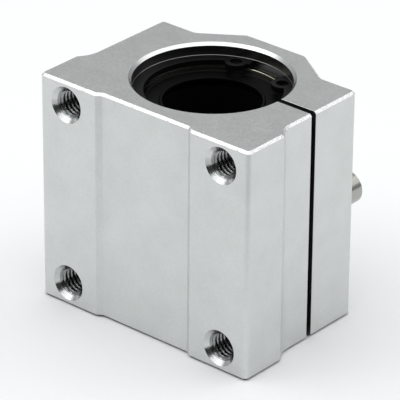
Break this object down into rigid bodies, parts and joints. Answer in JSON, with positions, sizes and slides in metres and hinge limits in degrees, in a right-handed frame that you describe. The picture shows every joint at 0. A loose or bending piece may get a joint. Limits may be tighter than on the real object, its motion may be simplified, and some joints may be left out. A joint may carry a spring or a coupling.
{
  "type": "linear bearing block",
  "caption": "Slit aluminium block with a ball bushing for a round shaft; a clamp screw closes the slit to take up the play",
  "frame": {"origin": "on the shaft's axis, half way along the block", "axes": "+Z along the shaft, -Y out of the mounting face, +X to the slit side; the block stands on its lower end face"},
  "size_m": [0.054, 0.041, 0.05],
  "materials": {
    "anodised_aluminium": "satin, finely blasted and clear anodised",
    "plated_steel": "bright zinc plated",
    "black_steel": "blackened spring steel",
    "hardened_steel": "ground",
    "cage_plastic": "moulded",
    "ball_steel": "polished",
    "seal_rubber": "smooth"
  },
  "bodies": {
    "block": {"housing": "anodised_aluminium", "retaining_ring_upper": "black_steel", "retaining_ring_lower": "black_steel", "bushing_sleeve": "hardened_steel", "ball_cage": "cage_plastic", "ball_circuit_1": "ball_steel", "ball_circuit_2": "ball_steel", "ball_circuit_3": "ball_steel", "ball_circuit_4": "ball_steel", "ball_circuit_5": "ball_steel", "seal_upper": "seal_rubber", "seal_lower": "seal_rubber"},
    "screw": {"clamp_screw": "plated_steel"}
  },
  "joints": [
    {"name": "clamp_screw_turn", "type": "hinge", "parent": "block", "child": "screw", "pos_m": [0.0197, 0.014, 0], "axis": [0, 1, 0], "range_deg": [0, 360]}
  ]
}
